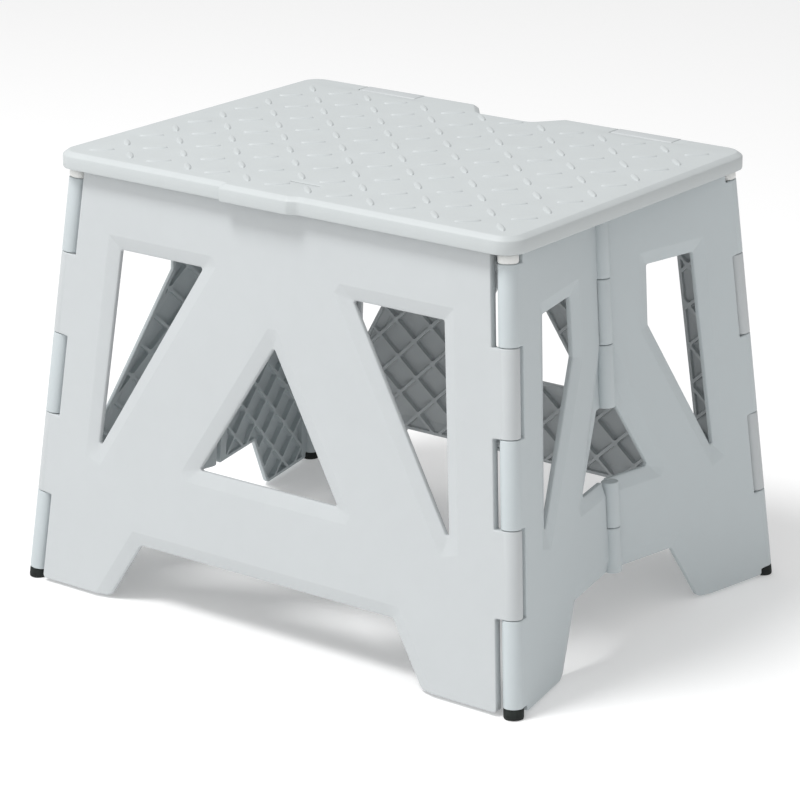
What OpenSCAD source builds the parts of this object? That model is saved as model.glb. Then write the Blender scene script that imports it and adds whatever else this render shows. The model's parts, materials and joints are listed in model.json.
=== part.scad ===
// Folding step stool. All lengths are in millimetres, all angles in degrees.
// Origin: on the floor, at the centre of the stool. +X runs along the long side of the tread,
// +Y points to the back, where the tread is hinged, and +Z points up.
//
// A front and a back panel lean inwards. They are joined at each end by two half panels, which
// are hinged to them at the corners and to each other in the middle, so the frame folds flat.

/* [Overall] */
// Height of the standing surface above the floor
stand_height = 291; // [250:1:350]
// Length of the tread, along X
tread_length = 356; // [300:1:430]
// Depth of the tread, along Y
tread_depth = 270; // [225:1:324]
// Thickness of the tread
tread_thickness = 11; // [10:0.5:14]
// How far the corner hinges spread along X from top to floor
splay_x = 25.8; // [20:0.2:31]
// How far the corner hinges spread along Y from top to floor
splay_y = 24.7; // [20:0.1:30]

/* [Tread] */
// Distance from the end of the tread to the corner hinge at the top
end_overhang = 11.5; // [10.5:0.5:14]
// Distance from the long edge of the tread to the corner hinge at the top
side_overhang = 12.8; // [12:0.1:15]
// Corner radius of the tread, seen from above
tread_corner_r = 15; // [12:0.5:18]
// Thickness of the standing surface over the ribs
tread_skin = 3; // [2.5:0.1:4]
// Width of the rim round the underside
tread_rim = 3.5; // [2.5:0.1:5]
// Thickness of the ribs under the tread
tread_rib = 2; // [1.6:0.1:3]
// Distance between the ribs under the tread
tread_rib_pitch = 42; // [34:1:51]
// Depth of the solid band along the hinged edge
hinge_band = 24; // [22:0.5:29]
// Depth of the hand notch in the hinged edge
notch_depth = 19.5; // [14:0.5:21]
// Width of the hand notch at its bottom
notch_width = 41; // [34:0.5:50]
// How far each side of the hand notch slopes out
notch_slope = 15; // [12:0.5:18]
// How far the finger tab stands out from the front edge
tab_reach = 3.3; // [2.5:0.1:4]
// Left end of the finger tab
tab_left = -39; // [-47:0.5:-32]
// Right end of the finger tab
tab_right = 14; // [11:0.5:17]
// Length of the taper at the right end of the finger tab
tab_taper = 7; // [5:0.5:9]
// Length of the slit behind the finger tab
slit_length = 23; // [19:0.5:28]
// Width of the slit
slit_width = 1.6; // [1.3:0.1:2]
// Distance from the front edge to the slit
slit_inset = 30; // [25:0.5:36]
// Place of the middle of the slit along X
slit_x = 3.5; // [2.5:0.5:4.5]

/* [Tread hinge] */
// Radius of the round back edge, centred on the hinge
edge_r = 3.5; // [3.2:0.1:4.2]
// Length of each hinge lug on the back panel
lug_length = 47; // [39:0.5:56]
// Distance from the centre to the middle of each hinge lug
lug_place = 103; // [96:0.5:112]
// How far each lug reaches in front of the hinge
lug_reach = 11; // [9.5:0.1:11.5]
// Radius of the tread hinge pins
tread_pin_r = 1.5; // [1.2:0.05:1.8]
// How far each tread hinge pin runs into the tread past its lug
tread_pin_grip = 10; // [8:0.5:12]

/* [Panels] */
// Thickness of every panel
panel_thickness = 5.7; // [5:0.1:5.9]
// How far the outer faces of the panels lie under the tops of the barrels
face_step = 0.2; // [0.1:0.05:0.4]
// Thickness of the outer skin of the panels
panel_skin = 2; // [1.7:0.1:2.4]
// Thickness of the ribs on the inside of the panels
panel_rib = 1.6; // [1.3:0.1:1.9]
// Distance between parallel ribs on the inside of the panels
panel_rib_pitch = 21; // [17.5:0.5:25]
// Width of the edge walls on the inside of the panels
edge_wall = 2.4; // [2:0.1:3]
// Angle of all sloping edges from the horizontal
brace_angle = 58.5; // [55:0.5:61]
// Height of the rail above the openings
top_rail = 48; // [40:0.5:57]
// Height of the lower edge of the openings above the floor
opening_low = 101.5; // [92:0.5:115]
// Height of the arch between the feet
arch_height = 41.3; // [35:0.1:49]
// Distance from the corner hinges to the openings of the front and back panels
corner_margin = 44; // [38:0.5:50]
// Distance from the corner hinges to the openings of the end panels
end_margin = 41; // [36:0.5:47]
// Distance from the middle hinges to the upper openings
middle_margin = 43.5; // [38:0.5:49]
// Width of the braces of the front and back panels
long_brace = 71; // [60:0.5:80]
// Width of the braces of the end panels
end_brace = 50.8; // [44:0.2:58]
// Length of a foot of the front and back panels along the floor
long_foot = 66; // [57:0.5:74]
// Length of a foot of the end panels along the floor
end_foot = 67.5; // [59:0.5:74]
// Width of the sloping border round the openings
bevel_width = 9; // [7.5:0.1:10.5]
// Depth of the sloping border at the edge of the openings
bevel_depth = 2.6; // [2.2:0.1:3.1]
// Angle by which each end panel half points inwards
end_cant = 11; // [9:0.5:12]
// Gap between the floor and the bottom of the panels
floor_gap = 1.5; // [1.3:0.1:1.8]

/* [Hinges] */
// Radius of the corner hinge barrels
barrel_r = 6.3; // [5.6:0.1:7.2]
// Radius of the middle hinge barrels
middle_barrel_r = 5.6; // [4.8:0.1:5.8]
// Radius of the steel pins in the barrels
pin_r = 2; // [1.7:0.05:2.4]
// Height of the rubber feet
foot_height = 6; // [5:0.1:7.2]
// Height of the pin caps at the top of the corner hinges
cap_height = 6; // [5:0.1:7.2]
// How much shorter the top knuckle is than the others
top_knuckle_cut = 5; // [4:0.5:8]
// Depth of the pin in the rubber foot and in the pin cap
pin_seat = 3.5; // [2.8:0.1:4.2]
// Height of the top knuckle of the middle hinge
middle_knuckle_top = 46; // [38:0.5:50]
// Height of the second knuckle of the middle hinge
middle_knuckle_second = 42; // [35:0.5:46]
// Height of the third knuckle of the middle hinge
middle_knuckle_third = 41; // [34:0.5:45]

/* [Clearances] */
// Gap between the ends of neighbouring knuckles
knuckle_gap = 0.4; // [0.3:0.05:0.6]
// Gap beside the end panel knuckles, in the front and back panels
wide_gap = 2.4; // [2:0.1:2.9]
// Gap beside the other knuckles, in the end panels
narrow_gap = 0.8; // [0.7:0.05:1]
// Gap between a folded face and the hinge line that it folds about
fold_gap = 0.4; // [0.3:0.05:0.5]
// Radial clearance of a pin in the knuckles that turn on it
running_gap = 0.1; // [0.05:0.01:0.1]
// Radial clearance of the loose front left hinge, which takes up the play of the folding frame
loose_gap = 0.6; // [0.5:0.05:0.7]
// Gap between the frame and the tread
tread_gap = 1.2; // [1:0.1:1.4]
// Gap round a cap or foot that sits in its panel
seat_gap = 0.4; // [0.3:0.05:0.5]
// Gap at the ends and in front of the tread hinge lugs
slot_gap = 0.5; // [0.4:0.05:0.6]

/* [Hidden] */
$fn = 48;
// A length that reaches past every edge of a panel
far = 500;
// A small overlap that joins solids and opens cuts
eps = 0.1;

// Corner hinges: their distance from the centre at the underside of the tread and at the floor
frame_height = stand_height - tread_thickness;
top_x = tread_length / 2 - end_overhang;
top_y = tread_depth / 2 - side_overhang;
floor_x = top_x + splay_x;
floor_y = top_y + splay_y;
// Length of a corner hinge line, and how much of it goes with a height
hinge_length = sqrt(splay_x^2 + splay_y^2 + frame_height^2);
function hinge_at(z) = z * hinge_length / frame_height;

// Panels: the outer face nearly touches the barrels, the inner face stays clear of the hinge line
face_out = barrel_r - face_step;
face_in = face_out - panel_thickness;
middle_offset = face_out + fold_gap * 3 / 4;

// Front and back panels, as leaning planes
long_lean = atan(splay_y / frame_height);
long_tilt = atan(splay_x * cos(long_lean) / frame_height);
// End panel halves, as leaning planes turned about the corner hinge
end_lean = atan((splay_x * cos(end_cant) - splay_y * sin(end_cant)) / frame_height);
end_rise = frame_height / cos(end_lean);
end_shift = splay_x * sin(end_cant) + splay_y * cos(end_cant);
end_tilt = -atan(end_shift / end_rise);
middle_tilt = -atan(tan(end_cant) * sin(end_lean));
middle_start = (floor_y - middle_offset * sin(end_cant) * cos(end_lean)) / cos(end_cant);
function middle_at(z) = (z - middle_offset * sin(end_lean)) / (cos(end_lean) * cos(middle_tilt));

// Knuckle heights, from the floor up
knuckle_top = frame_height - tread_gap - cap_height;
knuckle_pitch = (knuckle_top - foot_height + top_knuckle_cut) / 5;
end_knuckles = [for (k = [0, 2, 4]) [foot_height + k * knuckle_pitch,
                                     min(foot_height + (k + 1) * knuckle_pitch, knuckle_top)]];
long_knuckles = [for (k = [1, 3]) [foot_height + k * knuckle_pitch, foot_height + (k + 1) * knuckle_pitch]];
frame_top = frame_height - tread_gap;
opening_top = frame_height - top_rail;
middle_z = [arch_height, (arch_height + opening_low) / 2, opening_low,
            frame_top - middle_knuckle_top - middle_knuckle_second - middle_knuckle_third,
            frame_top - middle_knuckle_top - middle_knuckle_second,
            frame_top - middle_knuckle_top, frame_top];
front_middle_knuckles = [[middle_z[0], middle_z[1]], [middle_z[3], middle_z[4]], [middle_z[5], middle_z[6]]];
rear_middle_knuckles = [[middle_z[1], middle_z[2]], [middle_z[4], middle_z[5]]];
// Closed length of barrel under each pin of the middle hinges
middle_pin_floor = 4;

// Tread hinge
tread_hinge_y = tread_depth / 2 - edge_r;
tread_hinge_z = stand_height - edge_r;
under_r = tread_thickness - edge_r;

grey = [0.80, 0.82, 0.83];
light_grey = [0.90, 0.91, 0.91];
steel = [0.62, 0.63, 0.65];
black = [0.12, 0.13, 0.14];

// ---- Helpers -------------------------------------------------------------------------------

// A convex outline with every edge moved outwards by its own distance
function cross2(a, b) = a[0] * b[1] - a[1] * b[0];
function edge_normal(p, i) = let (d = p[(i + 1) % len(p)] - p[i]) [d[1], -d[0]] / norm(d);
function meet(p, n, q, m) = let (c = [n * p, m * q]) [c[0] * m[1] - c[1] * n[1], n[0] * c[1] - m[0] * c[0]]
                            / cross2(n, m);
function grown(p, d) = [for (i = [0 : len(p) - 1])
    let (j = (i + len(p) - 1) % len(p), n = edge_normal(p, j), m = edge_normal(p, i))
    meet(p[i] + n * d[j], n, p[i] + m * d[i], m)];

// A solid between two outlines with the same number of corners, given anticlockwise
module between(low, high, z0, z1) {
    n = len(low);
    polyhedron(
        points = concat([for (p = low) [p[0], p[1], z0]], [for (p = high) [p[0], p[1], z1]]),
        faces = concat([[for (i = [0 : n - 1]) i]], [[for (i = [n - 1 : -1 : 0]) n + i]],
                       [for (i = [0 : n - 1]) [i, n + i, n + (i + 1) % n, (i + 1) % n]]));
}

// A cut through a panel with a sloping border on the outside; edges names the bevelled edges
module bevelled_cut(outline, edges) {
    slope = bevel_width / bevel_depth;
    translate([0, 0, face_in - eps]) linear_extrude(panel_thickness + 2 * eps) polygon(outline);
    between(outline, grown(outline, [for (e = edges) e * (bevel_width + eps * slope)]),
            face_out - bevel_depth, face_out + eps);
}

// Places things along a hinge line that lies in a panel: Z along the line, X away from the panel
module on_hinge(start, tilt, offset = 0) {
    translate([start, 0, offset]) rotate([0, 0, tilt]) rotate([-90, 0, 0]) children();
}

module rod(r, from, to) {
    translate([0, 0, from]) cylinder(r = r, h = to - from);
}

// Crossed ribs at 45 degrees over a square of the given size
module rib_lattice(size, pitch, rib) {
    steps = ceil(size * sqrt(2) / pitch);
    for (turn = [45, -45], k = [-steps : steps])
        rotate(turn) translate([-size, k * pitch - rib / 2]) square([2 * size, rib]);
}

// Hollows on the inside of a panel, between its walls and ribs
module panel_hollows(outline, openings, keep_u, low_v) {
    translate([0, 0, face_in - eps]) linear_extrude(panel_thickness - panel_skin + eps) difference() {
        polygon(grown(outline, [for (p = outline) -edge_wall]));
        for (opening = openings) polygon(grown(opening, [for (p = opening) bevel_width]));
        rib_lattice(far * 0.7, panel_rib_pitch, panel_rib);
        for (k = keep_u) solid_band(k[0], k[1], k[2]);
    }
}

// A solid band along a hinge line, for its barrels
module solid_band(start, tilt, width) {
    translate([start, 0]) rotate(tilt) translate([-width, -far / 2]) square([2 * width, far]);
}

// ---- Tread ---------------------------------------------------------------------------------

module tread_outline(inset) {
    x = tread_length / 2 - inset;
    y = tread_depth / 2 - inset;
    r = max(tread_corner_r - inset, 1);
    square([2 * x - 2 * r, 2 * y], center = true);
    square([2 * x, 2 * y - 2 * r], center = true);
    for (sx = [-1, 1], sy = [-1, 1]) translate([sx * (x - r), sy * (y - r)]) circle(r);
}

module hand_notch() {
    edge = tread_depth / 2;
    half = notch_width / 2;
    out = notch_slope * (notch_depth + eps) / notch_depth;
    polygon([[-half, edge - notch_depth], [half, edge - notch_depth],
             [half + out, edge + eps], [-half - out, edge + eps]]);
}

module finger_tab() {
    edge = -tread_depth / 2;
    polygon([[tab_left, edge + 1], [tab_left, edge - tab_reach], [tab_right, edge - tab_reach],
             [tab_right + tab_taper, edge], [tab_right + tab_taper, edge + 1]]);
}

module top_panel() {
    lug_half = lug_length / 2 + slot_gap;
    slot_front = tread_hinge_y - lug_reach - 2 * slot_gap;
    color(grey) translate([0, 0, frame_height]) difference() {
        linear_extrude(tread_thickness) union() {
            tread_outline(0);
            finger_tab();
        }
        // Hollows under the standing surface
        translate([0, 0, -eps]) linear_extrude(tread_thickness - tread_skin + eps) difference() {
            intersection() {
                tread_outline(tread_rim);
                translate([-far / 2, -far]) square([far, far + tread_depth / 2 - hinge_band]);
            }
            rib_lattice(far * 0.6, tread_rib_pitch, tread_rib);
            translate([slit_x, slit_inset - tread_depth / 2])
                square([slit_length + 4 * tread_rib, slit_width + 4 * tread_rib], center = true);
        }
        translate([slit_x, slit_inset - tread_depth / 2, tread_thickness / 2])
            cube([slit_length, slit_width, 2 * tread_thickness], center = true);
        translate([0, 0, -eps]) linear_extrude(tread_thickness + 2 * eps) hand_notch();
        // Slots for the hinge lugs of the back panel
        for (s = [-1, 1]) translate([s * lug_place - lug_half, slot_front, -eps])
            cube([2 * lug_half, tread_depth, tread_thickness + 2 * eps]);
        // Round back edge
        for (low = [[-eps, under_r], [under_r, edge_r]])
            translate([0, tread_hinge_y - tread_depth / 2, low[0]]) difference() {
                translate([-far / 2, tread_depth / 2, 0]) cube([far, edge_r + 1, max(low) + eps]);
                translate([-far, tread_depth / 2, under_r - low[0]]) rotate([0, 90, 0])
                    cylinder(r = low[1], h = 2 * far);
            }
        for (s = [-1, 1]) tread_bore(s, tread_pin_r, tread_pin_grip);
    }
}

module tread_bore(side, r, grip) {
    length = lug_length + 2 * grip;
    translate([side * lug_place - length / 2, tread_hinge_y, under_r])
        rotate([0, 90, 0]) cylinder(r = r, h = length);
}

module tread_pin(side) {
    color(steel) translate([0, 0, frame_height]) tread_bore(side, tread_pin_r, tread_pin_grip);
}

// ---- Front and back panels -----------------------------------------------------------------

long_low = floor_gap / cos(long_lean);
long_high = (frame_top - face_out * sin(long_lean)) / cos(long_lean);
long_sill = opening_low / cos(long_lean);
long_head = opening_top / cos(long_lean);
long_arch = arch_height / cos(long_lean);
function long_edge(v) = floor_x - v * tan(long_tilt);
long_side = corner_margin / cos(long_tilt);

long_outline = [[-long_edge(long_low), long_low], [long_edge(long_low), long_low],
                [long_edge(long_high), long_high], [-long_edge(long_high), long_high]];
side_triangle = [[long_edge(long_sill) - long_side, long_sill], [long_edge(long_head) - long_side, long_head],
                 [long_edge(long_sill) - long_side - (long_head - long_sill) / tan(brace_angle), long_head]];
centre_half = long_edge(long_sill) - long_side - long_brace / sin(brace_angle);
centre_triangle = [[-centre_half, long_sill], [centre_half, long_sill],
                   [0, long_sill + centre_half * tan(brace_angle)]];
arch_top_half = long_edge(long_low) - long_foot + (long_low - long_arch) / tan(brace_angle);
arch_low_half = arch_top_half + 2 * long_arch / tan(brace_angle);
long_arch_outline = [[-arch_low_half, -long_arch], [arch_low_half, -long_arch],
                     [arch_top_half, long_arch], [-arch_top_half, long_arch]];
function flipped(p) = [for (i = [len(p) - 1 : -1 : 0]) [-p[i][0], p[i][1]]];

// A front or back panel, lying flat: X along the stool, Y up, Z outwards
module long_panel(left_clearance) {
    difference() {
        union() {
            translate([0, 0, face_in]) linear_extrude(panel_thickness) polygon(long_outline);
            for (s = [-1, 1], k = long_knuckles) on_hinge(s * floor_x, s * long_tilt)
                rod(barrel_r, hinge_at(k[0]) + knuckle_gap / 2, hinge_at(k[1]) - knuckle_gap / 2);
        }
        panel_hollows(long_outline, [side_triangle, flipped(side_triangle), centre_triangle, long_arch_outline],
                      [[floor_x, long_tilt, corner_margin / 3], [-floor_x, -long_tilt, corner_margin / 3]]);
        bevelled_cut(side_triangle, [1, 1, 1]);
        bevelled_cut(flipped(side_triangle), [1, 1, 1]);
        bevelled_cut(centre_triangle, [1, 1, 1]);
        bevelled_cut(long_arch_outline, [0, 1, 1, 1]);
        // Room for the knuckles of the end panels, the caps and the feet
        for (s = [-1, 1]) on_hinge(s * floor_x, s * long_tilt) {
            for (k = end_knuckles) side_notch(s, hinge_at(k[0]), hinge_at(k[1]), barrel_r + wide_gap);
            side_notch(s, -far, hinge_at(foot_height), barrel_r + wide_gap);
            side_notch(s, hinge_at(knuckle_top), far, barrel_r + wide_gap);
        }
        on_hinge(floor_x, long_tilt) rod(pin_r + running_gap, 0, far);
        on_hinge(-floor_x, -long_tilt) rod(pin_r + left_clearance, 0, far);
    }
}

// Clears a panel beside a hinge line; side is the direction in which the panel ends
module side_notch(side, from, to, width) {
    translate([side > 0 ? -width : -far, -barrel_r * 2, from - knuckle_gap / 2])
        cube([far + width, barrel_r * 4, to - from + knuckle_gap]);
}

module front_panel() {
    color(light_grey) translate([0, -floor_y, 0]) rotate([90 - long_lean, 0, 0]) long_panel(loose_gap);
}

module back_panel() {
    color(grey) difference() {
        union() {
            rotate([0, 0, 180]) translate([0, -floor_y, 0]) rotate([90 - long_lean, 0, 0])
                long_panel(running_gap);
            for (s = [-1, 1]) translate([s * lug_place - lug_length / 2, 0, 0]) tread_lug();
        }
        translate([0, 0, frame_height]) for (s = [-1, 1])
            tread_bore(s, tread_pin_r + running_gap, tread_pin_grip + eps);
    }
}

// One hinge lug: it rises from the top rail of the back panel and fills its slot in the tread
module tread_lug() {
    root = 6;
    low = frame_height - root;
    inner = top_y + face_in + 1;
    outer = top_y + face_out;
    front = tread_hinge_y - lug_reach;
    rotate([90, 0, 90]) linear_extrude(lug_length) union() {
        polygon([[inner, low], [outer, low], [outer, frame_height], [tread_hinge_y, tread_hinge_z - edge_r],
                 [tread_hinge_y, stand_height], [front, stand_height], [front, stand_height - edge_r],
                 [inner, frame_height + edge_r]]);
        translate([tread_hinge_y, tread_hinge_z]) circle(edge_r);
    }
}

// ---- End panel halves ----------------------------------------------------------------------

end_low = floor_gap / cos(end_lean);
end_high = (frame_top - face_out * sin(end_lean)) / cos(end_lean);
end_sill = opening_low / cos(end_lean);
end_head = opening_top / cos(end_lean);
end_arch = arch_height / cos(end_lean);
function corner_edge(v) = -v * tan(end_tilt);
function middle_edge(v) = middle_start - v * tan(middle_tilt);
middle_head = (middle_z[3] - middle_offset * sin(end_lean)) / cos(end_lean);

end_side = corner_edge(end_sill) + end_margin / cos(end_tilt);
end_middle = middle_edge(end_head) - middle_margin;
end_outline = [[corner_edge(end_low), end_low], [middle_edge(end_low), end_low],
               [middle_edge(end_high), end_high], [corner_edge(end_high), end_high]];
upper_opening = [[end_side, end_sill], [end_middle, end_sill + (end_middle - end_side) * tan(brace_angle)],
                 [end_middle, end_head], [end_side + corner_edge(end_head) - corner_edge(end_sill), end_head]];
centre_side = end_side + end_brace / sin(brace_angle);
centre_opening = [[centre_side, end_sill], [centre_side + far / 4, end_sill],
                  [centre_side + far / 4, middle_head],
                  [centre_side + (middle_head - end_sill) / tan(brace_angle), middle_head]];
end_arch_side = corner_edge(end_low) + end_foot + (end_arch - end_low) / tan(brace_angle);
end_arch_outline = [[end_arch_side - 2 * end_arch / tan(brace_angle), -end_arch], [end_arch_side + far / 4, -end_arch],
                    [end_arch_side + far / 4, end_arch], [end_arch_side, end_arch]];

// Half of an end panel without its middle knuckles, lying flat: X from the corner to the middle,
// Y up, Z outwards
module end_plate(others) {
    difference() {
        union() {
            translate([0, 0, face_in]) linear_extrude(panel_thickness) polygon(end_outline);
            for (k = end_knuckles) on_hinge(0, end_tilt)
                rod(barrel_r, hinge_at(k[0]) + (k[0] > foot_height ? knuckle_gap / 2 : 0),
                    hinge_at(k[1]) - (k[1] < knuckle_top ? knuckle_gap / 2 : 0));
        }
        panel_hollows(end_outline, [upper_opening, centre_opening, end_arch_outline],
                      [[0, end_tilt, end_margin / 3], [middle_start, middle_tilt, middle_margin / 3]]);
        bevelled_cut(upper_opening, [1, 1, 1, 1]);
        bevelled_cut(centre_opening, [1, 0, 0, 1]);
        bevelled_cut(end_arch_outline, [0, 0, 1, 1]);
        on_hinge(0, end_tilt) {
            for (k = long_knuckles) side_notch(-1, hinge_at(k[0]), hinge_at(k[1]), barrel_r + narrow_gap);
            side_notch(-1, -far, hinge_at(foot_height) - knuckle_gap / 2, barrel_r + seat_gap);
            side_notch(-1, hinge_at(knuckle_top) + knuckle_gap / 2, far, barrel_r + seat_gap);
            rod(pin_r, 0, far);
        }
        // The middle hinge: room for the other half's knuckles, and a free edge between knuckles
        on_hinge(middle_start, middle_tilt, middle_offset) {
            for (k = others) side_notch(1, middle_at(k[0]), middle_at(k[1]), middle_barrel_r + narrow_gap);
            side_notch(1, -far, far, fold_gap);
        }
    }
}

module end_half(own, others, middle_clearance) {
    difference() {
        union() {
            end_plate(others);
            on_hinge(middle_start, middle_tilt, middle_offset) for (k = own)
                rod(middle_barrel_r, middle_at(k[0]) + knuckle_gap / 2, middle_at(k[1]) - knuckle_gap / 2);
        }
        on_hinge(middle_start, middle_tilt, middle_offset) {
            rod(pin_r + middle_clearance, middle_at(middle_z[0]) + middle_pin_floor, middle_at(middle_z[2]) + eps);
            rod(pin_r + middle_clearance, middle_at(middle_z[3]) + middle_pin_floor, far);
        }
    }
}

// Places an end half in the right-hand front corner; the other three are its mirror images
module right_front_place() {
    translate([floor_x, -floor_y, 0]) rotate([0, 0, 90 + end_cant]) rotate([90 - end_lean, 0, 0]) children();
}

module corner(sx, sy) {
    mirror([sx < 0 ? 1 : 0, 0, 0]) mirror([0, sy > 0 ? 1 : 0, 0]) right_front_place() children();
}

module side_half(sx, sy) {
    own = sy < 0 ? front_middle_knuckles : rear_middle_knuckles;
    others = sy < 0 ? rear_middle_knuckles : front_middle_knuckles;
    color(grey) corner(sx, sy) end_half(own, others, sy < 0 ? 0 : running_gap);
}

// ---- Pins, caps and feet -------------------------------------------------------------------

module hinge_pin(sx, sy) {
    color(steel) corner(sx, sy) on_hinge(0, end_tilt)
        rod(pin_r, hinge_at(foot_height) - pin_seat, hinge_at(knuckle_top) + pin_seat);
}

module pin_cap(sx, sy) {
    color("white") corner(sx, sy) on_hinge(0, end_tilt) difference() {
        rod(barrel_r, hinge_at(knuckle_top), hinge_at(frame_top) - barrel_r * splay_y / frame_height);
        rod(pin_r, 0, hinge_at(knuckle_top) + pin_seat);
    }
}

module foot(sx, sy) {
    color(black) intersection() {
        corner(sx, sy) on_hinge(0, end_tilt) difference() {
            rod(barrel_r, -barrel_r, hinge_at(foot_height));
            rod(pin_r, hinge_at(foot_height) - pin_seat, far);
        }
        translate([-far / 2, -far / 2, 0]) cube([far, far, far]);
    }
}

module middle_pin(sx, from, to) {
    color(steel) corner(sx, -1) on_hinge(middle_start, middle_tilt, middle_offset)
        rod(pin_r, middle_at(from) + middle_pin_floor, middle_at(to) - middle_pin_floor);
}

// ---- The pieces ----------------------------------------------------------------------------

top_panel();
front_panel();
back_panel();
side_half(1, -1);  // right_front_side
side_half(1, 1);  // right_rear_side
side_half(-1, -1);  // left_front_side
side_half(-1, 1);  // left_rear_side
hinge_pin(1, -1);  // hinge_pin_front_right
hinge_pin(1, 1);  // hinge_pin_rear_right
hinge_pin(-1, -1);  // hinge_pin_front_left
hinge_pin(-1, 1);  // hinge_pin_rear_left
pin_cap(1, -1);  // pin_cap_front_right
pin_cap(1, 1);  // pin_cap_rear_right
pin_cap(-1, -1);  // pin_cap_front_left
pin_cap(-1, 1);  // pin_cap_rear_left
foot(1, -1);  // foot_front_right
foot(1, 1);  // foot_rear_right
foot(-1, -1);  // foot_front_left
foot(-1, 1);  // foot_rear_left
middle_pin(1, middle_z[3], middle_z[6]);  // middle_pin_upper_right
middle_pin(1, middle_z[0], middle_z[2]);  // middle_pin_lower_right
middle_pin(-1, middle_z[3], middle_z[6]);  // middle_pin_upper_left
middle_pin(-1, middle_z[0], middle_z[2]);  // middle_pin_lower_left
tread_pin(1);  // tread_pin_right
tread_pin(-1);  // tread_pin_left
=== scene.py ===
import json
import math

import bpy
import numpy as np
from mathutils import Matrix, Vector
from mathutils.geometry import delaunay_2d_cdt


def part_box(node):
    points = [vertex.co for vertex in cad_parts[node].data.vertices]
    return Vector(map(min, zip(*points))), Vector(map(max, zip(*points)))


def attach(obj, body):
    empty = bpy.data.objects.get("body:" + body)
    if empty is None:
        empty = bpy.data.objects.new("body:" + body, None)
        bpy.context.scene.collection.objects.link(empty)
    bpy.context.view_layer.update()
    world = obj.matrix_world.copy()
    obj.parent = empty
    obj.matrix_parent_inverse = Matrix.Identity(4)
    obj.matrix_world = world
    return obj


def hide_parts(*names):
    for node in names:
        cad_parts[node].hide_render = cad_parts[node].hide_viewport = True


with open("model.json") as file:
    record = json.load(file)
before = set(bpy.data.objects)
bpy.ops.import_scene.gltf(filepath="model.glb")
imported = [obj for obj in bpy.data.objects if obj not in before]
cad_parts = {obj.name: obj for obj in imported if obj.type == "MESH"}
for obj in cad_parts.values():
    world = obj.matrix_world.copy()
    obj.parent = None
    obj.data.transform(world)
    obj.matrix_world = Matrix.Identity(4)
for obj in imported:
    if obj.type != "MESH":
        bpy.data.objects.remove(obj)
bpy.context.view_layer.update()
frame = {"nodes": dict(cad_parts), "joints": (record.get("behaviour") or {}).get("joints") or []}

# Folding step stool. Shapes are worked out in millimetres and turned into metres when a piece is made.
MM = 0.001

# ---- Driving sizes, read from the frame ------------------------------------------------------

joints = {j["name"]: j for j in frame["joints"]}
tread_low, tread_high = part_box("top_panel")
STAND = tread_high.z / MM
UNDER = tread_low.z / MM
TREAD_X = (tread_high.x - tread_low.x) / 2 / MM
TREAD_Y = tread_high.y / MM
TREAD_T = STAND - UNDER
corner = Vector(joints["fold"]["pos_m"]) / MM
corner_line = -Vector(joints["fold"]["axis"])
SPLAY_X = -corner_line.x / corner_line.z * UNDER
SPLAY_Y = -corner_line.y / corner_line.z * UNDER
TREAD_HINGE = Vector(joints["tread_lift"]["pos_m"]) / MM
FRAME_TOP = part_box("front_panel")[1].z / MM
FLOOR_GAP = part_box("front_panel")[0].z / MM

# ---- Sizes of the moulded detail -------------------------------------------------------------

BARREL_R, MIDDLE_R = 6.3, 5.6            # barrels of the corner and middle hinges
FACE_OUT = BARREL_R - 0.2                # outer face of a panel, from the hinge plane
THICK = 5.7                              # a panel over its ribs
FACE_IN = FACE_OUT - THICK
MIDDLE_OFFSET = FACE_OUT + 0.3           # axis of the middle hinge, from the hinge plane
CANT = math.radians(11)                  # turn of an end half about the vertical
SKIN, DRAFT = 2.0, 0.4                   # skin under the ribs, and run-out of their sides
RIB, RIB_BOSS = 2.0, 2.3                 # width of a rib, and radius of the boss at a crossing
RIB_STEP_U, RIB_STEP_V, RIB_START_V = 15.2, 14.0, -1.2
EDGE_WALL, OPENING_WALL = 2.4, 2.4       # solid walls round a panel and round its openings
EDGE_ROUND, INNER_ROUND = 0.7, 0.5       # roundings of the edges, outside and inside
ROUND_LINES = (0.12, 0.35, EDGE_ROUND)   # lines of the mesh along a rounded edge
BRACE = math.tan(math.radians(58.5))     # slope of the diagonal braces
BEVEL_W, BEVEL_D = 9.0, 2.6              # sloping border round an opening
CREASE = 0.4                             # half the width of its rounded crease
CORNER_CUT = 12.0                        # distance of the facet that cuts its corners off
TOP_RAIL, SILL, ARCH = 48.0, 101.5, 41.3  # under the tread down to the openings, their sill, the arch
CORNER_MARGIN, END_MARGIN, MIDDLE_MARGIN = 44.0, 41.0, 43.5  # hinge lines to the openings
SOLID_SHARE = 3                          # a hinge line's solid band is its margin over this
LONG_BRACE, END_BRACE = 71.0, 50.8       # widths of the braces
LONG_FOOT, END_FOOT = 66.0, 67.5         # widths of the feet of the panels
FOOT_CORNER, ARCH_CORNER, OPENING_CORNER, ARCH_BORDER = 6.0, 3.0, 1.5, 2.0  # corner radii
FOOT_H, CAP_H = 6.0, 6.0                 # rubber feet and pin caps, upright
TOP_CUT = 5.0                            # by which the top corner knuckle is shorter
MIDDLE_TOP, MIDDLE_SECOND, MIDDLE_THIRD = 46.0, 42.0, 41.0  # middle knuckles, from the top
KNUCKLE_GAP, WIDE_GAP, NARROW_GAP = 0.4, 2.4, 0.8
LINE = 300.0                             # long enough to cross a panel

# ---- Outlines --------------------------------------------------------------------------------


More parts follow.
